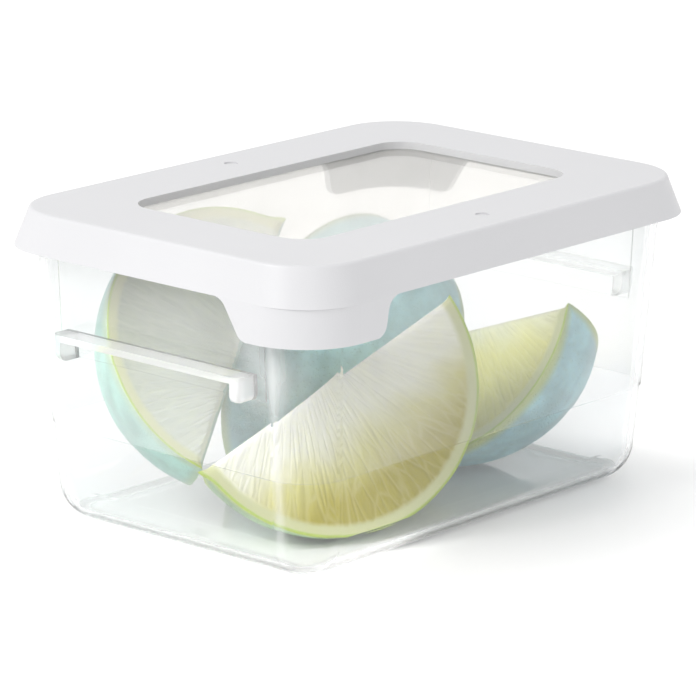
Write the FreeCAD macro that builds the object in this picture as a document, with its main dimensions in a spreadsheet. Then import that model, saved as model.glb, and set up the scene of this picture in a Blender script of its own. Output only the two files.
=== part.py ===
import FreeCAD, Part
import Sketcher
import math
import os
import re
from FreeCAD import Vector

doc = FreeCAD.newDocument("FoodBox")
sheet = doc.addObject("Spreadsheet::Sheet", "Sizes")

# Every driving size, in mm and degrees. The long side runs along X and the box stands on z = 0.
sizes = {
    # overall, over the lid
    "boxLength": 145.0, "boxWidth": 101.4, "boxHeight": 76.3,
    # lid frame: a flat rim with a skirt that flares outwards as it comes down
    "lidPlate": 1.8, "lidWall": 1.8, "skirtDrop": 9.2, "skirtFlare": 2.6,
    "lidCorner": 17.0, "lidEdgeRound": 0.9,
    "windowLength": 98.4, "windowWidth": 56.4, "windowCorner": 7.8,
    "dimpleWidth": 3.4, "dimpleDepth": 0.3, "dimpleSpacing": 79.0,
    # lift tabs, at two opposite corners of the lid
    "tabDrop": 9.2, "tabSide": 25.4, "tabEnd": 21.0, "tabSideLean": 1.6, "tabEndLean": 5.8,
    "tabFootRound": 3.4, "tabTopRound": 4.0,
    # clear pane under the window
    "paneThickness": 1.2, "paneLap": 7.0,
    # tub
    "tubWall": 1.5, "tubFloor": 1.6, "rimGap": 0.3, "endDraft": 4.8, "sideDraft": 3.5,
    "tubCorner": 11.5, "footRound": 10.0,
    "stepHeight": 24.4, "stepDepth": 0.4,
    "panelWidth": 63.8, "panelBelowRim": 2.5, "panelHeight": 29.0, "panelProud": 0.35,
    # finger lip at each end of the tub, clear of the lid above it
    "lipBelowRim": 25.3, "lipWidth": 59.0, "lipPlate": 1.6, "lipLeg": 3.0, "lipDrop": 6.4,
    "lipCorner": 2.2, "lipFootRound": 2.4,
    # the citrus wedges lie in a heap that fits the inside of the tub
    "heapLength": 119.0, "heapWidth": 79.0, "heapHeight": 71.7,
    "nubWidth": 7.0, "nubLength": 1.6,
}
# Each wedge: its middle along X, along Y and above the floor, the heading and rise of its
# core, its roll about the core, its length, its radius and the angle between its cut faces.
wedgeSizes = ("MidX", "MidY", "MidUp", "Heading", "Rise", "Roll", "Length", "Radius", "Angle")
wedges = {
    "front": (-29.8, -18.3, 37.0, -16.4, 26.3, -116.1, 73.6, 36.9, 68.9),
    "left": (-29.4, 7.9, 40.2, -158.2, -40.5, 140.0, 70.1, 35.0, 100.4),
    "right": (34.7, -2.3, 33.9, -88.6, 20.4, -122.7, 73.2, 33.4, 88.3),
    "rear": (20.8, 27.0, 23.7, 174.4, -38.3, -4.9, 75.2, 35.7, 84.9),
}
for name, numbers in wedges.items():
    for word, size in zip(wedgeSizes, numbers):
        sizes[name + word] = size

for row, (alias, size) in enumerate(sizes.items(), 1):
    sheet.set(f"A{row}", alias)
    sheet.set(f"B{row}", str(size))
    sheet.setAlias(f"B{row}", alias)
doc.recompute()


def bound(text):
    """The expression for an object, with each size taken from the sheet."""
    return re.sub(r"[A-Za-z]\w*", lambda word: "Sizes." + word[0] if word[0] in sizes else word[0], text)


def amount(text):
    """What an expression comes to, for a sketch's first shape and for choosing edges."""
    return float(sheet.evalExpression(text))


def newSketch(body, name, role, offset="0"):
    """A sketch on one of its body's own planes, lifted off it by an expression."""
    sketch = body.newObject("Sketcher::SketchObject", name)
    plane = next(feature for feature in body.Origin.OriginFeatures if feature.Role == role)
    sketch.AttachmentSupport = [(plane, "")]
    sketch.MapMode = "FlatFace"
    sketch.setExpression("AttachmentOffset.Base.z", bound(offset))
    return sketch


def hold(sketch, kind, ids, text):
    """A constraint whose size is an expression."""
    size = amount(text)
    if size < 0:
        ids, text, size = [*ids[2:], *ids[:2]], f"-({text})", -size
    index = sketch.addConstraint(Sketcher.Constraint(kind, *ids, size))
    sketch.setExpression(f"Constraints[{index}]", bound(text))


def roundedOutline(sketch, length, width, corner):
    """A centred rectangle with round corners."""
    halfX, halfY, radius = amount(f"({length})/2"), amount(f"({width})/2"), amount(corner)
    cx, cy = halfX - radius, halfY - radius
    first = sketch.GeometryCount
    for x, y, turn in ((cx, cy, 0), (-cx, cy, 90), (-cx, -cy, 180), (cx, -cy, 270)):
        circle = Part.Circle(Vector(x, y, 0), Vector(0, 0, 1), radius)
        sketch.addGeometry(Part.ArcOfCircle(circle, math.radians(turn), math.radians(turn + 90)))
    for start, end in (((cx, halfY), (-cx, halfY)), ((-halfX, cy), (-halfX, -cy)),
                       ((-cx, -halfY), (cx, -halfY)), ((halfX, -cy), (halfX, cy))):
        sketch.addGeometry(Part.LineSegment(Vector(*start, 0), Vector(*end, 0)))
    for side in range(4):
        arc, line, nextArc = first + side, first + 4 + side, first + (side + 1) % 4
        sketch.addConstraint(Sketcher.Constraint("Tangent", arc, 2, line, 1))
        sketch.addConstraint(Sketcher.Constraint("Tangent", line, 2, nextArc, 1))
        if side in (1, 3):
            sketch.addConstraint(Sketcher.Constraint("Equal", first, arc))
    sketch.addConstraint(Sketcher.Constraint("Horizontal", first + 4))
    sketch.addConstraint(Sketcher.Constraint("Vertical", first + 5))
    sketch.addConstraint(Sketcher.Constraint("Symmetric", first, 3, first + 2, 3, -1, 1))
    hold(sketch, "DistanceY", [-1, 1, first + 4, 1], f"({width})/2")
    hold(sketch, "DistanceX", [-1, 1, first + 7, 1], f"({length})/2")
    index = sketch.addConstraint(Sketcher.Constraint("Radius", first, radius))
    sketch.setExpression(f"Constraints[{index}]", bound(corner))


def cornerOutline(sketch, points):
    """A closed outline of straight lines between corners given as pairs of expressions."""
    corners = [Vector(amount(x), amount(y), 0) for x, y in points]
    count = len(points)
    for side in range(count):
        sketch.addGeometry(Part.LineSegment(corners[side], corners[(side + 1) % count]))
    for side, (x, y) in enumerate(points):
        sketch.addConstraint(Sketcher.Constraint("Coincident", side, 2, (side + 1) % count, 1))
        hold(sketch, "DistanceX", [-1, 1, side, 1], x)
        hold(sketch, "DistanceY", [-1, 1, side, 1], y)


def pad(body, sketch, length, both=False):
    feature = body.newObject("PartDesign::Pad", sketch.Name + "Pad")
    feature.Profile = (sketch, [""])
    feature.SideType = "Symmetric" if both else "One side"
    feature.setExpression("Length", bound(length))
    doc.recompute()
    return feature


def newBody(name):
    return doc.addObject("PartDesign::Body", name)


def near(first, second):
    return abs(first - second) < 0.01


def level(height):
    """A test for edges that lie wholly at one height."""
    return lambda edge: all(near(vertex.Z, amount(height)) for vertex in edge.Vertexes)


def roundEdges(body, feature, radius, chosen):
    """Rounds the edges of a feature that pass a test."""
    names = [f"Edge{index}" for index, edge in enumerate(feature.Shape.Edges, 1) if chosen(edge)]
    fillet = body.newObject("PartDesign::Fillet", feature.Name + "Round")
    fillet.Base = (feature, names)
    fillet.setExpression("Radius", bound(radius))
    doc.recompute()
    return fillet


def taperedBlock(name, low, high, outline, corner):
    """A block whose flat sides lean, with round upright corners; outline gives length and width at a height."""
    body = newBody(name)
    block = body.newObject("PartDesign::AdditiveWedge", name + "Block")
    block.Placement = FreeCAD.Placement(Vector(0, 0, 0), FreeCAD.Rotation(Vector(1, 0, 0), 90))
    block.setExpression("Placement.Base.z", bound(low))
    block.Ymin = 0
    block.setExpression("Ymax", bound(f"{high} - ({low})"))
    for mark, height in (("", low), ("2", high)):
        for axis, side in zip("XZ", outline(height)):
            block.setExpression(f"{axis}{mark}min", bound(f"-({side})/2"))
            block.setExpression(f"{axis}{mark}max", bound(f"({side})/2"))
    doc.recompute()
    upright = roundEdges(body, block, corner, lambda edge: not (level(low)(edge) or level(high)(edge)))
    return body, upright


# ---- tub ----
rimHeight = "(boxHeight - lidPlate)"


def tubOutline(inset):
    """The tub's outline at a height: it narrows from the rim, just inside the lid's skirt, to the foot."""
    def outline(height):
        fall = f"({rimHeight} - ({height})) / {rimHeight}"
        rim = "2*skirtFlare - 2*lidWall - 2*rimGap"
        return (f"boxLength - {rim} - 2*endDraft*{fall} - 2*({inset})",
                f"boxWidth - {rim} - 2*sideDraft*{fall} - 2*({inset})")
    return outline


# the foot is a shallow step narrower than the rest, so that the tub's sides show a line
footForm, foot = taperedBlock("footForm", "0", rimHeight, tubOutline("stepDepth"), "tubCorner - stepDepth")
roundEdges(footForm, foot, "footRound", level("0"))
upperForm = taperedBlock("upperForm", "stepHeight", rimHeight, tubOutline("0"), "tubCorner")[0]

# the finger lips: one bar with two legs, left standing at each end once the inside is cut out
lips = newBody("lips")
lipSketch = newSketch(lips, "fingerLip", "YZ_Plane")
outer, inner = "lipWidth/2", "(lipWidth/2 - lipLeg)"
lipTop = f"({rimHeight} - lipBelowRim)"
low, under = f"({lipTop} - lipDrop)", f"({lipTop} - lipPlate)"
cornerOutline(lipSketch, [
    (f"-{outer}", low), (f"-{outer}", lipTop), (outer, lipTop), (outer, low),
    (inner, low), (inner, under), (f"-{inner}", under), (f"-{inner}", low)])
lip = pad(lips, lipSketch, "boxLength", both=True)
lipEnd = amount("boxLength/2")
for radius, axis, place in (("lipFootRound", 2, low), ("lipCorner", 1, outer)):
    at = amount(place)
    lip = roundEdges(lips, lip, radius, lambda edge: near(abs(edge.CenterOfMass.x), lipEnd) and all(
        near(abs(point[axis]), at) for point in (edge.CenterOfMass, edge.Vertexes[0].Point)))

# a flat panel stands slightly proud behind each lip
panelTop = f"({rimHeight} - panelBelowRim)"
panelForm = taperedBlock("panelForm", f"{panelTop} - panelHeight", panelTop, tubOutline("-panelProud"), "tubCorner")[0]
panelBar = doc.addObject("Part::Box", "panelBar")
panelBar.setExpression("Length", bound("boxLength"))
panelBar.setExpression("Width", bound("panelWidth"))
panelBar.setExpression("Height", bound("boxHeight"))
panelBar.setExpression("Placement.Base.x", bound("-boxLength/2"))
panelBar.setExpression("Placement.Base.y", bound("-panelWidth/2"))
panels = doc.addObject("Part::Common", "panels")
panels.Base, panels.Tool = panelForm, panelBar

tubSolid = doc.addObject("Part::MultiFuse", "tubSolid")
tubSolid.Shapes = [footForm, upperForm, lips, panels]
tubInside, cavity = taperedBlock("tubInside", "tubFloor", "boxHeight", tubOutline("tubWall + stepDepth/2"),
                                 "tubCorner - tubWall")
roundEdges(tubInside, cavity, "footRound - tubWall", level("tubFloor"))
tub = doc.addObject("Part::Cut", "tubCut")
tub.Base, tub.Tool = tubSolid, tubInside
tub.Label = "tub"

# ---- lid frame ----
skirtHeight = "(boxHeight - skirtDrop)"
tabHeight = "(boxHeight - skirtDrop - tabDrop)"


def lidOutline(inset):
    """The skirt's outline at a height."""
    def outline(height):
        lean = f"skirtFlare*(({height}) - {skirtHeight})/skirtDrop + ({inset})"
        return f"boxLength - 2*({lean})", f"boxWidth - 2*({lean})"
    return outline


lidForm, shell = taperedBlock("lidForm", skirtHeight, "boxHeight", lidOutline("0"), "lidCorner")
roundEdges(lidForm, shell, "lidEdgeRound", level("boxHeight"))
lidHollow = taperedBlock("lidHollow", f"{skirtHeight} - lidWall", rimHeight, lidOutline("lidWall"),
                         "lidCorner - lidWall")[0]
windowForm = newBody("windowForm")
windowSketch = newSketch(windowForm, "window", "XY_Plane", f"{rimHeight} - lidPlate")
roundedOutline(windowSketch, "windowLength", "windowWidth", "windowCorner")
pad(windowForm, windowSketch, "3*lidPlate")
dimples = []
for name, sign in (("dimpleRight", "-"), ("dimpleLeft", "")):
    dimple = doc.addObject("Part::Cylinder", name)
    dimple.setExpression("Radius", bound("dimpleWidth/2"))
    dimple.setExpression("Height", bound("lidPlate"))
    dimple.setExpression("Placement.Base.y", bound(f"{sign}dimpleSpacing/2"))
    dimple.setExpression("Placement.Base.z", bound("boxHeight - dimpleDepth"))
    dimples.append(dimple)
lidCuts = doc.addObject("Part::MultiFuse", "lidCuts")
lidCuts.Shapes = [lidHollow, windowForm, *dimples]
frame = doc.addObject("Part::Cut", "frame")
frame.Base, frame.Tool = lidForm, lidCuts

# the tabs: the skirt carries on down round two opposite corners, between curved shoulders
tabRing = newBody("tabRing")
ringSketch = newSketch(tabRing, "ring", "XY_Plane", tabHeight)
roundedOutline(ringSketch, "boxLength", "boxWidth", "lidCorner")
roundedOutline(ringSketch, "boxLength - 2*lidWall", "boxWidth - 2*lidWall", "lidCorner - lidWall")
pad(tabRing, ringSketch, "tabDrop")


def tabProfile(name, role, overall, reach, lean):
    """The tab seen from one side: everything beyond its leaning, rounded shoulder is left out."""
    body = newBody(name)
    sketch = newSketch(body, name + "Sketch", role)
    far = f"-({overall}/2 + lidWall)"
    foot, top = f"-{overall}/2 + {reach}", f"-{overall}/2 + {reach} + {lean}"
    cornerOutline(sketch, [(far, tabHeight), (foot, tabHeight), (top, skirtHeight),
                           (f"{top} + 3*tabTopRound", skirtHeight),
                           (f"{top} + 3*tabTopRound", "boxHeight"), (far, "boxHeight")])
    block = pad(body, sketch, "boxLength + boxWidth", both=True)
    axis = 0 if role == "XZ_Plane" else 1
    for place, height, radius in ((top, skirtHeight, "tabTopRound"), (foot, tabHeight, "tabFootRound")):
        at, flat = amount(place), level(height)
        block = roundEdges(body, block, radius, lambda edge: flat(edge) and all(
            near(vertex.Point[axis], at) for vertex in edge.Vertexes))
    return body


sideView = tabProfile("tabSideView", "XZ_Plane", "boxLength", "tabSide", "tabSideLean")
endView = tabProfile("tabEndView", "YZ_Plane", "boxWidth", "tabEnd", "tabEndLean")
tab = doc.addObject("Part::MultiCommon", "nearTab")
tab.Shapes = [tabRing, sideView, endView]
turned = tab
for name, normal in (("turnedTab", Vector(1, 0, 0)), ("farTab", Vector(0, 1, 0))):
    mirror = doc.addObject("Part::Mirroring", name)
    mirror.Source, mirror.Normal = turned, normal
    turned = mirror
lid = doc.addObject("Part::MultiFuse", "lidFuse")
lid.Shapes = [frame, tab, turned]
lid.Refine = True
lid.Label = "lid_frame"

# ---- clear pane, held against the underside of the frame ----
pane = newBody("pane")
paneSketch = newSketch(pane, "paneOutline", "XY_Plane", f"{rimHeight} - paneThickness")
roundedOutline(paneSketch, "windowLength + 2*paneLap", "windowWidth + 2*paneLap", "windowCorner + paneLap")
pad(pane, paneSketch, "paneThickness")
pane.Label = "lid_pane"

# ---- citrus wedges ----
inLength, inWidth = tubOutline("tubWall")("tubFloor")
share = f"min(1; ({inLength})/heapLength; ({inWidth})/heapWidth; ({rimHeight} - paneThickness - tubFloor)/heapHeight)"


def wedge(name):
    """A slice of a rounded fruit: two flat cut faces that meet at the core, a rind and a small end nub."""
    half, ball, spread = f"{share}*{name}Length/2", f"{share}*{name}Radius", f"{name}Angle"
    nub = f"{share}*nubLength"
    fruit = doc.addObject("Part::Ellipsoid", name + "Fruit")
    for prop, text in (("Radius1", half), ("Radius2", ball), ("Radius3", ball), ("Angle3", spread)):
        fruit.setExpression(prop, bound(text))
    tip = doc.addObject("Part::Cone", name + "Nub")
    for prop, text in (("Radius1", f"{share}*nubWidth/5"), ("Radius2", f"{share}*nubWidth/2"),
                       ("Height", f"3*{nub}"), ("Angle", spread)):
        tip.setExpression(prop, bound(text))
    # the fruit's own axis is turned from Z to X
    turn = FreeCAD.Rotation(Vector(1, 1, 1), 120)
    fruit.Placement = FreeCAD.Placement(Vector(0, 0, 0), turn)
    tip.Placement = FreeCAD.Placement(Vector(0, 0, 0), turn)
    tip.setExpression("Placement.Base.x", bound(f"-({half}) - {nub}"))
    piece = doc.addObject("Part::MultiFuse", name + "Wedge")
    piece.Shapes = [fruit, tip]
    where = f"vector({share}*{name}MidX; {share}*{name}MidY; tubFloor + {share}*{name}MidUp)"
    piece.setExpression("Placement", bound(
        f"placement({where}; rotation({name}Heading; -{name}Rise; {name}Roll))"))
    piece.Label = "wedge_" + name
    return piece


pieces = [tub, lid, pane] + [wedge(name) for name in wedges]
doc.recompute()

for thing in doc.Objects:
    if "Invalid" in thing.State or "Error" in thing.State:
        raise RuntimeError(f"{thing.Name} failed: {thing.getStatusString()}")
for piece in pieces:
    if piece.Shape.isNull() or not piece.Shape.isValid():
        raise RuntimeError(f"{piece.Label} has no valid shape")
    if len(piece.Shape.Solids) != 1:
        raise RuntimeError(f"{piece.Label} has {len(piece.Shape.Solids)} solids")

os.makedirs("parts", exist_ok=True)
for piece in pieces:
    piece.Shape.exportStep(f"parts/{piece.Label}.step")
    box = piece.Shape.optimalBoundingBox()
    print(piece.Label, round(piece.Shape.Volume), [round(side, 2) for side in (
        box.XMin, box.XMax, box.YMin, box.YMax, box.ZMin, box.ZMax)])
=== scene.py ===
import math
import bpy
import bmesh
from mathutils import Matrix, Vector, noise


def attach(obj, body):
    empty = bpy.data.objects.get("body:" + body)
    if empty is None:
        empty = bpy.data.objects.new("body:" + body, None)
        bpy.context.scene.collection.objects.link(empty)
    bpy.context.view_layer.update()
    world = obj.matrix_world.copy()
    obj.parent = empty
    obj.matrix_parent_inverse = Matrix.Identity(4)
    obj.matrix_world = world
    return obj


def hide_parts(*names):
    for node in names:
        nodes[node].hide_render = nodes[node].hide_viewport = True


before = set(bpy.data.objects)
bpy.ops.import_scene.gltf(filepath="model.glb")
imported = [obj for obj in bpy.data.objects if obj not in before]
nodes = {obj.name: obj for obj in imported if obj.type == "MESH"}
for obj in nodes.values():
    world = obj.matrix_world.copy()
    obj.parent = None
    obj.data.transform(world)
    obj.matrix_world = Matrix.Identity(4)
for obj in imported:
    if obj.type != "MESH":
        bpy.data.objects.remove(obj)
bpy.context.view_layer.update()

print("frame loaded")


# small helpers for the node trees

def newMaterial(name):
    material = bpy.data.materials.new(name)
    material.use_nodes = True
    tree = material.node_tree
    return material, tree, tree.nodes["Principled BSDF"]


def addNode(tree, kind, **values):
    node = tree.nodes.new(kind)
    for key, value in values.items():
        if key in node.inputs.keys():
            node.inputs[key].default_value = value
        else:
            setattr(node, key, value)
    return node


def plug(tree, socket, value):
    if isinstance(value, bpy.types.NodeSocket):
        tree.links.new(value, socket)
    elif isinstance(value, tuple):
        socket.default_value = (*value[:3], 1)
    else:
        socket.default_value = value


def ramp(tree, source, stops, smooth=False):
    node = addNode(tree, "ShaderNodeValToRGB")
    band = node.color_ramp
    if smooth:
        band.interpolation = "EASE"
    while len(band.elements) < len(stops):
        band.elements.new(0.5)
    for element, (place, colour) in zip(band.elements, stops):
        element.position = place
        element.color = (*colour, 1) if isinstance(colour, tuple) else (colour, colour, colour, 1)
    plug(tree, node.inputs[0], source)
    return node.outputs[0]


def between(tree, source, start, end, first=0.0, last=1.0):
    node = addNode(tree, "ShaderNodeMapRange", interpolation_type="SMOOTHSTEP")
    for socket, value in zip(node.inputs, (source, start, end, first, last)):
        plug(tree, socket, value)
    return node.outputs[0]


def reckon(tree, operation, first, second=0.0):
    node = addNode(tree, "ShaderNodeMath", operation=operation)
    plug(tree, node.inputs[0], first)
    plug(tree, node.inputs[1], second)
    return node.outputs[0]


def blendColours(tree, amount, first, second, kind="MIX"):
    node = addNode(tree, "ShaderNodeMix", data_type="RGBA", blend_type=kind)
    for place, value in ((0, amount), (6, first), (7, second)):
        plug(tree, node.inputs[place], value)
    return node.outputs[2]


def readAttribute(tree, name):
    return addNode(tree, "ShaderNodeAttribute", attribute_name=name).outputs["Fac"]


def placeOf(tree):
    return addNode(tree, "ShaderNodeTexCoord").outputs["Object"]


def axesOf(tree, spot):
    split = addNode(tree, "ShaderNodeSeparateXYZ")
    plug(tree, split.inputs[0], spot)
    return split.outputs


def bumps(tree, shader, height, distance, strength=1.0):
    node = addNode(tree, "ShaderNodeBump", Distance=distance, Strength=strength)
    plug(tree, node.inputs["Height"], height)
    plug(tree, shader.inputs["Normal"], node.outputs[0])


# camera

view = {"away": 1.08346, "heading": -49.02, "rise": 14.81, "roll": 0.55,
        "aside": 0.001386, "above": 0.037352, "aimHeight": 0.075726, "lens": 236.308}


def addCamera(values):
    heading, rise, roll = (math.radians(values[key]) for key in ("heading", "rise", "roll"))
    back = Vector((math.sin(heading) * math.cos(rise), -math.cos(heading) * math.cos(rise), math.sin(rise)))
    right = Vector((math.cos(heading), math.sin(heading), 0))
    up = back.cross(right)
    right, up = (right * math.cos(roll) + up * math.sin(roll), up * math.cos(roll) - right * math.sin(roll))
    spot = back * values["away"] - right * values["aside"] - up * values["above"]
    camera = bpy.data.objects.new("camera", bpy.data.cameras.new("camera"))
    camera.data.sensor_width = 36
    camera.data.lens = values["lens"]
    camera.data.clip_start, camera.data.clip_end = 0.05, 60
    camera.matrix_world = Matrix.Translation(spot + Vector((0, 0, values["aimHeight"]))) @ Matrix(
        (right, up, back)).transposed().to_4x4()
    bpy.context.collection.objects.link(camera)
    bpy.context.scene.camera = camera


addCamera(view)
print("camera placed")


# floor and light

studio = {"floorSize": 12.0, "floorColour": (0.93, 0.93, 0.93), "floorGlow": 0.08,
          "skyColour": (1.0, 1.0, 1.0), "skyStrength": 1.0,
          "lamps": [("key", (-1.0, 0.22, 0.85), 0.6, 7.5, (1.0, 0.995, 0.98)),
                    ("fill", (-0.9, -1.0, 0.9), 0.5, 0.8, (1.0, 1.0, 1.0))]}


def addStudio(values):
    bm = bmesh.new()
    bmesh.ops.create_grid(bm, x_segments=2, y_segments=2, size=values["floorSize"] / 2)
    mesh = bpy.data.meshes.new("floor")
    bm.to_mesh(mesh)
    bm.free()
    floor = bpy.data.objects.new("floor", mesh)
    bpy.context.collection.objects.link(floor)
    material, tree, shader = newMaterial("paleFloor")
    shader.inputs["Base Color"].default_value = (*values["floorColour"], 1)
    shader.inputs["Roughness"].default_value = 0.6
    shader.inputs["Emission Color"].default_value = (1, 1, 1, 1)
    shader.inputs["Emission Strength"].default_value = values["floorGlow"]
    mesh.materials.append(material)
    world = bpy.data.worlds.new("studioSky")
    world.use_nodes = True
    sky = world.node_tree.nodes["Background"]
    sky.inputs[0].default_value = (*values["skyColour"], 1)
    sky.inputs[1].default_value = values["skyStrength"]
    bpy.context.scene.world = world
    for name, spot, size, power, colour in values["lamps"]:
        lamp = bpy.data.objects.new(name, bpy.data.lights.new(name, "AREA"))
        lamp.data.size, lamp.data.energy, lamp.data.color = size, power, colour
        lamp.location = spot
        lamp.rotation_euler = (Vector(spot) - Vector((0, 0, 0.04))).to_track_quat("Z", "Y").to_euler()
        bpy.context.collection.objects.link(lamp)
    scene = bpy.context.scene
    scene.view_settings.view_transform = "Standard"
    scene.view_settings.look = "None"


addStudio(studio)
print("studio ready")


# tub, lid and pane keep their modelled shapes and get plastic finishes

# the tub settings include a painted reflection patch on the near long wall and a painted highlight streak at the near
# corner
tubPlastic = {"tint": (0.988, 0.995, 0.998), "roughness": 0.03, "ior": 1.46, "clear": 0.975, "hazy": 0.86,
              "stepHeight": 0.0244, "lipClear": 0.7, "paintedGlareX": -0.030, "paintedGlareShare": 0.9,
              "floorClear": 0.4, "wallX": 0.0628, "lean": 0.084,
              "cornerY": -0.0335, "highlightShare": 1.2, "endShare": 1.6,
              "sideShare": 0.45}


def tubFinish(values):
    material, tree, shader = newMaterial("clearTub")
    spot = placeOf(tree)
    axes = axesOf(tree, spot)
    cloud = addNode(tree, "ShaderNodeTexNoise", Scale=26.0, Detail=3.0)
    tall = addNode(tree, "ShaderNodeMapping")
    tall.inputs["Scale"].default_value = (1.6, 1.6, 0.25)
    plug(tree, tall.inputs["Vector"], spot)
    plug(tree, cloud.inputs["Vector"], tall.outputs[0])
    above = between(tree, axes[2], values["stepHeight"] - 0.0002, values["stepHeight"] + 0.0002)
    # painted reflection: a soft white patch on the long side near the corner, taken out of the clearness, stands in
    # for a lamp's soft reflection
    paintedGlare = between(tree, reckon(tree, "ABSOLUTE", reckon(tree, "SUBTRACT", axes[0], values["paintedGlareX"])), 0.020, 0.004)
    paintedGlare = reckon(tree, "MULTIPLY", paintedGlare, between(tree, axes[1], -0.038, -0.039))
    # painted highlight: a bright upright streak where the near end wall meets the round corner stands in for a lamp's
    # glint; a whiter band near the top sits beside it
    off = reckon(tree, "ABSOLUTE", reckon(tree, "SUBTRACT", axes[1], values["cornerY"]))
    end = between(tree, axes[0], -0.060, -0.062)
    highlightStreak = reckon(tree, "MULTIPLY", between(tree, off, 0.0018, 0.0003), end)
    top = reckon(tree, "MULTIPLY", between(tree, off, 0.014, 0.002), between(tree, axes[2], 0.036, 0.050))
    # the painted reflection patch and the whiter band up top are added to the tub's own cloudy haze
    glareAndTopWhite = reckon(tree, "ADD", reckon(tree, "MULTIPLY", paintedGlare, values["paintedGlareShare"]),
                  reckon(tree, "MULTIPLY", reckon(tree, "MULTIPLY", top, end), values["endShare"]))
    cloudAndGlare = reckon(tree, "ADD", between(tree, cloud.outputs[0], 0.3, 0.7, 0.5, 1.0), glareAndTopWhite)
    mistAndGlare = reckon(tree, "MULTIPLY", reckon(tree, "MULTIPLY", above, cloudAndGlare),
                  between(tree, axes[1], -0.036, -0.038, 1.0, values["sideShare"]))
    # the painted highlight streak is added on top of the haze, below the step line too
    mistAndGlare = reckon(tree, "ADD", mistAndGlare, reckon(tree, "MULTIPLY", highlightStreak, values["highlightShare"]))
    clear = reckon(tree, "SUBTRACT", values["clear"], reckon(tree, "MULTIPLY", mistAndGlare, values["clear"] - values["hazy"]))
    # the finger lip stands out past the leaning end wall and is milky
    wall = reckon(tree, "ADD", reckon(tree, "MULTIPLY", axes[2], values["lean"]), values["wallX"])
    past = reckon(tree, "SUBTRACT", reckon(tree, "ABSOLUTE", axes[0]), wall)
    lip = reckon(tree, "MULTIPLY", between(tree, past, 0.0006, 0.0010), between(tree, axes[2], 0.052, 0.051))
    clear = reckon(tree, "MULTIPLY", clear, between(tree, axes[2], 0.0017, 0.0023, values["floorClear"], 1.0))
    clear = reckon(tree, "MULTIPLY", clear, between(tree, lip, 0.0, 1.0, 1.0, values["lipClear"]))
    plug(tree, shader.inputs["Transmission Weight"], clear)
    shader.inputs["Base Color"].default_value = (*values["tint"], 1)
    shader.inputs["IOR"].default_value = values["ior"]
    plug(tree, shader.inputs["Roughness"], between(tree, cloud.outputs[0], 0.3, 0.7, values["roughness"] * 0.6,
                                                  values["roughness"] * 1.4))
    return material


lidPlastic = {"colour": (0.60, 0.60, 0.615), "roughness": 0.42, "grain": 0.00002, "grainScale": 2600.0}


def lidFinish(values):
    material, tree, shader = newMaterial("whiteLid")
    spot = placeOf(tree)
    grain = addNode(tree, "ShaderNodeTexNoise", Scale=values["grainScale"], Detail=2.0)
    cloud = addNode(tree, "ShaderNodeTexNoise", Scale=18.0, Detail=2.0)
    plug(tree, grain.inputs["Vector"], spot)
    plug(tree, cloud.inputs["Vector"], spot)
    dull = tuple(c * 0.97 for c in values["colour"])
    plug(tree, shader.inputs["Base Color"], blendColours(tree, between(tree, cloud.outputs[0], 0.3, 0.7), dull,
                                                        values["colour"]))
    plug(tree, shader.inputs["Roughness"], between(tree, cloud.outputs[0], 0.3, 0.7, values["roughness"] - 0.04,
                                                  values["roughness"] + 0.04))
    shader.inputs["Subsurface Weight"].default_value = 0.08
    shader.inputs["Subsurface Radius"].default_value = (0.001, 0.001, 0.001)
    shader.inputs["Subsurface Scale"].default_value = 1.0
    bumps(tree, shader, grain.outputs[0], values["grain"])
    return material


panePlastic = {"tint": (0.985, 0.965, 0.93), "roughness": 0.02, "ior": 1.46, "clear": 0.87}


def paneFinish(values):
    material, tree, shader = newMaterial("clearPane")
    spot = placeOf(tree)
    cloud = addNode(tree, "ShaderNodeTexNoise", Scale=30.0, Detail=2.0)
    plug(tree, cloud.inputs["Vector"], spot)
    shader.inputs["Base Color"].default_value = (*values["tint"], 1)
    shader.inputs["IOR"].default_value = values["ior"]
    shader.inputs["Transmission Weight"].default_value = values["clear"]
    plug(tree, shader.inputs["Roughness"], between(tree, cloud.outputs[0], 0.3, 0.7, values["roughness"] * 0.5,
                                                  values["roughness"] * 1.5))
    return material


for nodeName, finish in (("tub", tubFinish(tubPlastic)), ("lid_frame", lidFinish(lidPlastic)),
                         ("lid_pane", paneFinish(panePlastic))):
    for holder in nodes[nodeName].material_slots:
        holder.material = finish
for nodeName in ("tub", "lid_pane"):  # clear plastic lets the soft light through to the fruit
    nodes[nodeName].visible_shadow = False
print("plastics finished")


# citrus slices: a half-lens cut face, its turned copy, and a rind spun between their rims

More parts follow.
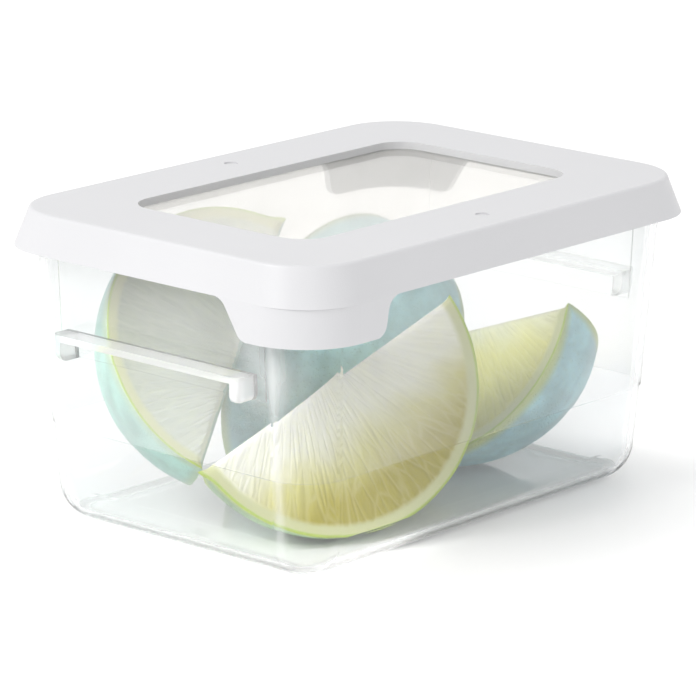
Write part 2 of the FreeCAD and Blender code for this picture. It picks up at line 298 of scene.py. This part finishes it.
slices = {
    "front": {"middle": (-29.8, -18.3, 38.6), "turn": (-16.4, -26.3, -116.1), "length": 73.6, "radius": 36.9,
              "spread": 68.9, "seed": 3.0, "teal": 0.25, "rim": (0.50, 0.60, 0.14), "otherFace": 0.0,
              # front pulp is paler towards the core: partly the flesh's own pale middle, partly a painted reflection
              # washing over it
              "pulp": [(0.0, (0.95, 0.95, 0.88)), (0.26, (0.86, 0.86, 0.70)), (0.48, (0.62, 0.59, 0.20)),
                       (0.68, (0.42, 0.36, 0.01)), (1.0, (0.38, 0.33, 0.005))]},
    "left": {"middle": (-29.4, 7.9, 41.8), "turn": (-158.2, 40.5, 140.0), "length": 70.1, "radius": 35.0,
             "spread": 100.4, "seed": 17.0, "teal": 0.7, "rim": (0.42, 0.56, 0.38), "otherFace": 0.85,
             "pulp": [(0.0, (0.66, 0.70, 0.62)), (0.4, (0.56, 0.62, 0.52)), (1.0, (0.42, 0.47, 0.32))]},
    "right": {"middle": (34.7, -2.3, 35.5), "turn": (-88.6, -20.4, -122.7), "length": 73.2, "radius": 33.4,
              "spread": 88.3, "seed": 29.0, "teal": 1.0, "rim": (0.50, 0.60, 0.20), "otherFace": 0.0,
              "pulp": [(0.0, (0.80, 0.81, 0.62)), (0.3, (0.74, 0.72, 0.26)), (1.0, (0.58, 0.56, 0.10))]},
    "rear": {"middle": (20.8, 27.0, 25.3), "turn": (174.4, 38.3, -4.9), "length": 75.2, "radius": 35.7,
             "spread": 84.9, "seed": 41.0, "teal": 1.0, "rim": (0.46, 0.58, 0.30), "otherFace": 0.4,
             "pulp": [(0.0, (0.60, 0.64, 0.52)), (0.4, (0.54, 0.58, 0.44)), (1.0, (0.44, 0.48, 0.30))]}}
sliceShape = {"along": 132, "across": 48, "around": 52, "nubWidth": 7.0, "nubLength": 1.6, "pith": 0.085,
              "fleshDip": 0.15, "cellRelief": 0.12, "coreRound": 1.0, "rindWave": 0.25,
              "rayBehind": 0.42, "raySquash": 0.92, "cellNoise": [(0.7, (22.0, 0.16), 0), (0.3, (60.0, 0.35), 5.0)]}


def fleshCoordinates(x, away, ball, shape):
    # rays that fan out from a line behind the core, with the distance along them
    beyond, squashed = away + shape["rayBehind"] * ball, x * shape["raySquash"]
    return math.atan2(beyond, squashed), math.hypot(squashed, beyond)


def cellHeight(ray, reach, seed, shape):
    height = 0
    for share, (acrossRays, alongRays), later in shape["cellNoise"]:
        height += share * noise.noise(Vector((ray * acrossRays, reach * alongRays, seed + later)))
    return height


def makeSlice(name, values, shape, finishes):
    half, ball, spread = values["length"] / 2, values["radius"], math.radians(values["spread"])
    bm = bmesh.new()
    rhoLayer = bm.verts.layers.float.new("rho")
    coreLayer = bm.verts.layers.float.new("core")
    sideLayer = bm.verts.layers.float.new("side")
    rimLayer = bm.verts.layers.float.new("rim")
    bmesh.ops.create_grid(bm, x_segments=shape["along"], y_segments=shape["across"], size=0.5)
    for vert in bm.verts:
        turn, outward = math.pi * (vert.co.x + 0.5), vert.co.y + 0.5
        vert.co = (-half * math.cos(turn), outward * ball * math.sin(turn), 0)
        vert[rhoLayer] = math.hypot(math.cos(turn), outward * math.sin(turn))
        vert[coreLayer] = vert.co.y
        vert[sideLayer] = 1.0
    rim = [edge for edge in bm.edges if all(vert[rhoLayer] > 0.99999 for vert in edge.verts) and edge.is_boundary
           and abs(edge.verts[0].co.x - edge.verts[1].co.x) > 1e-5]
    copy = bmesh.ops.duplicate(bm, geom=list(bm.faces))["geom"]
    second = [item for item in copy if isinstance(item, bmesh.types.BMVert)]
    for vert in second:
        vert[sideLayer] = 2.0
    bmesh.ops.rotate(bm, verts=second, cent=(0, 0, 0), matrix=Matrix.Rotation(spread, 3, "X"))
    flat = set(bm.faces)
    bmesh.ops.spin(bm, geom=rim, cent=(0, 0, 0), axis=(1, 0, 0), angle=spread, steps=shape["around"])
    for face in bm.faces:
        face.material_index = 0 if face in flat else 1
        face.smooth = True
    bmesh.ops.remove_doubles(bm, verts=bm.verts, dist=0.0004)
    bmesh.ops.dissolve_degenerate(bm, edges=bm.edges, dist=0.0001)
    bmesh.ops.recalc_face_normals(bm, faces=bm.faces)
    # relief: flesh a little below the pith, juice cells, a rounded core, a gently uneven rind and the end nub
    middle = Vector((0, math.cos(spread / 2), math.sin(spread / 2)))
    outOne = Vector((0, 0, -1))
    outTwo = Matrix.Rotation(spread, 3, "X") @ Vector((0, 0, 1))
    for vert in bm.verts:
        place = vert.co.copy()
        away = math.hypot(place.y, place.z)
        angle = math.atan2(place.z, place.y)
        rho = vert[rhoLayer]
        vert[rimLayer] = min(angle, spread - angle) * away
        onCore = away < 0.01
        if rho < 0.9999 and not onCore:
            out = outOne if angle < spread / 2 else outTwo
            seed = values["seed"] + (0 if angle < spread / 2 else 60)
            ray, reach = fleshCoordinates(place.x, away, ball, shape)
            inside = min(1, max(0, (1 - rho - shape["pith"]) / 0.03)) * min(1, max(0, (away - 1.5) / 2.5))
            move = inside * (shape["cellRelief"] * cellHeight(ray, reach, seed, shape) - shape["fleshDip"])
            place += out * move
        if rho > 0.9999:
            wave = noise.noise(place * 0.12 + Vector((values["seed"], 0, 0)))
            place.yz *= 1 - shape["rindWave"] * (0.5 + 0.5 * wave) / max(away, 4)
        place += middle * shape["coreRound"] * math.exp(-(away / 1.3) ** 2) * min(1, (1 - rho) / 0.05)
        if place.x < 0:
            place.x -= shape["nubLength"] * math.exp(-(away / (0.42 * shape["nubWidth"])) ** 2) * max(
                0, 1 - (half + place.x) / 3.0)
        vert.co = place
    fan = bm.loops.layers.uv.new("fan")
    for face in bm.faces:
        for loop in face.loops:
            place = loop.vert.co
            away = math.hypot(place.y, place.z)
            if face.material_index == 0:
                ray, reach = fleshCoordinates(place.x, away, ball, shape)
                loop[fan].uv = (ray * 10 + values["seed"], reach / ball)
            else:
                loop[fan].uv = (place.x / 10 + values["seed"], math.atan2(place.z, place.y) * ball / 10)
    where = Matrix.Translation(Vector(values["middle"])) @ (
        Matrix.Rotation(math.radians(values["turn"][0]), 4, "Z")
        @ Matrix.Rotation(math.radians(values["turn"][1]), 4, "Y")
        @ Matrix.Rotation(math.radians(values["turn"][2]), 4, "X"))
    bm.transform(Matrix.Scale(0.001, 4) @ where)
    mesh = bpy.data.meshes.new("slice_" + name)
    bm.to_mesh(mesh)
    bm.free()
    for finish in finishes:
        mesh.materials.append(finish)
    piece = bpy.data.objects.new("slice_" + name, mesh)
    bpy.context.collection.objects.link(piece)
    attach(piece, "root")
    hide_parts("wedge_" + name)
    return piece


fleshLook = {"darkest": 0.88, "lightest": 1.07, "vein": (0.90, 0.90, 0.68), "veinShare": 0.12,
             "pith": (0.60, 0.62, 0.34), "rindLine": (0.42, 0.56, 0.08), "shaded": (0.36, 0.52, 0.50),
             "ragged": 0.03, "wander": 0.3}


def fleshFinish(name, values, pulpStops, radius, otherFace):
    material, tree, shader = newMaterial("flesh_" + name)
    fan = addNode(tree, "ShaderNodeUVMap", uv_map="fan").outputs[0]
    rho, core = readAttribute(tree, "rho"), readAttribute(tree, "core")

    def stretched(kind, across, along, **more):
        mapping = addNode(tree, "ShaderNodeMapping")
        mapping.inputs["Scale"].default_value = (across, along, 1)
        plug(tree, mapping.inputs["Vector"], fan)
        node = addNode(tree, kind, **more)
        plug(tree, node.inputs["Vector"], mapping.outputs[0])
        return node

    cells = stretched("ShaderNodeTexVoronoi", 1.9, 3.4, feature="DISTANCE_TO_EDGE", Scale=1.0, Randomness=0.9)
    strokes = stretched("ShaderNodeTexNoise", 3.2, 1.5, Scale=1.0, Detail=4.0, Roughness=0.6)
    patches = stretched("ShaderNodeTexNoise", 0.35, 1.6, Scale=1.0, Detail=2.0)
    walls = between(tree, cells.outputs["Distance"], 0.0, 0.09, 1.0, 0.0)
    shade = reckon(tree, "ADD", reckon(tree, "MULTIPLY", strokes.outputs[0], 0.65),
                   reckon(tree, "MULTIPLY", patches.outputs[0], 0.45))
    wander = reckon(tree, "MULTIPLY", reckon(tree, "SUBTRACT", patches.outputs[0], 0.5), values["wander"])
    pulp = ramp(tree, reckon(tree, "ADD", reckon(tree, "DIVIDE", core, radius), wander), pulpStops)
    shadeRamp = ramp(tree, shade, [(0.36, values["darkest"]), (0.74, values["lightest"])])
    pulp = blendColours(tree, 1.0, pulp, shadeRamp, "MULTIPLY")
    pulp = blendColours(tree, reckon(tree, "MULTIPLY", walls, values["veinShare"]), pulp, values["vein"])
    uneven = reckon(tree, "MULTIPLY", reckon(tree, "SUBTRACT", strokes.outputs[0], 0.5), values["ragged"])
    ragged = reckon(tree, "ADD", rho, uneven)
    pulp = blendColours(tree, between(tree, ragged, 0.895, 0.945), pulp, values["pith"])
    skin = blendColours(tree, between(tree, rho, 0.972, 0.992), pulp, values["rindLine"])
    other = reckon(tree, "MULTIPLY", between(tree, readAttribute(tree, "side"), 1.4, 1.6), otherFace)
    plug(tree, shader.inputs["Base Color"], blendColours(tree, other, skin, values["shaded"]))
    flesh = between(tree, ragged, 0.925, 0.90)
    plug(tree, shader.inputs["Roughness"], between(tree, flesh, 0.0, 1.0, 0.55, 0.24))
    shader.inputs["Subsurface Weight"].default_value = 0.35
    shader.inputs["Subsurface Radius"].default_value = (0.004, 0.004, 0.0015)
    shader.inputs["Subsurface Scale"].default_value = 1.0
    shader.inputs["IOR"].default_value = 1.38
    shader.inputs["Specular IOR Level"].default_value = 0.35
    height = reckon(tree, "MULTIPLY", flesh, reckon(tree, "ADD", between(tree, cells.outputs["Distance"], 0.0, 0.25),
                                                   reckon(tree, "MULTIPLY", strokes.outputs[0], 0.6)))
    bumps(tree, shader, height, 0.00012)
    return material


rindLook = {"green": (0.24, 0.36, 0.07), "teal": (0.29, 0.52, 0.56),
            "gland": 1150.0, "glandDepth": 0.00018}


def rindFinish(name, values, teal, rimColour):
    material, tree, shader = newMaterial("rind_" + name)
    spot = placeOf(tree)
    fan = addNode(tree, "ShaderNodeUVMap", uv_map="fan").outputs[0]
    rim = readAttribute(tree, "rim")
    mottle = addNode(tree, "ShaderNodeTexNoise", Scale=90.0, Detail=3.0)
    broad = addNode(tree, "ShaderNodeTexNoise", Scale=28.0, Detail=1.0)
    glands = addNode(tree, "ShaderNodeTexVoronoi", Scale=values["gland"], feature="F1")
    for node in (mottle, broad, glands):
        plug(tree, node.inputs["Vector"], spot)
    body = tuple(g * (1 - teal) + t * teal for g, t in zip(values["green"], values["teal"]))
    light = tuple(min(1, c * 1.5 + 0.03) for c in body)
    colour = blendColours(tree, between(tree, mottle.outputs[0], 0.35, 0.7), body, light)
    edge = reckon(tree, "SUBTRACT", reckon(tree, "MULTIPLY", broad.outputs[0], 5.0), 1.2)
    nearRim = between(tree, reckon(tree, "SUBTRACT", rim, edge), 2.4, -1.2)
    colour = blendColours(tree, nearRim, colour, rimColour)
    pits = between(tree, glands.outputs["Distance"], 0.0, 0.45)
    colour = blendColours(tree, between(tree, pits, 0.0, 1.0, 0.25, 0.0), colour, rimColour)
    plug(tree, shader.inputs["Base Color"], colour)
    plug(tree, shader.inputs["Roughness"], between(tree, mottle.outputs[0], 0.3, 0.7, 0.28, 0.40))
    shader.inputs["Subsurface Weight"].default_value = 0.1
    shader.inputs["Subsurface Radius"].default_value = (0.002, 0.002, 0.001)
    shader.inputs["Subsurface Scale"].default_value = 1.0
    shader.inputs["IOR"].default_value = 1.42
    bumps(tree, shader, pits, values["glandDepth"])
    return material


for sliceName, sliceValues in slices.items():
    makeSlice(sliceName, sliceValues, sliceShape,
              (fleshFinish(sliceName, fleshLook, sliceValues["pulp"], sliceValues["radius"], sliceValues["otherFace"]),
               rindFinish(sliceName, rindLook, sliceValues["teal"], sliceValues["rim"])))
    print("slice", sliceName, "made")
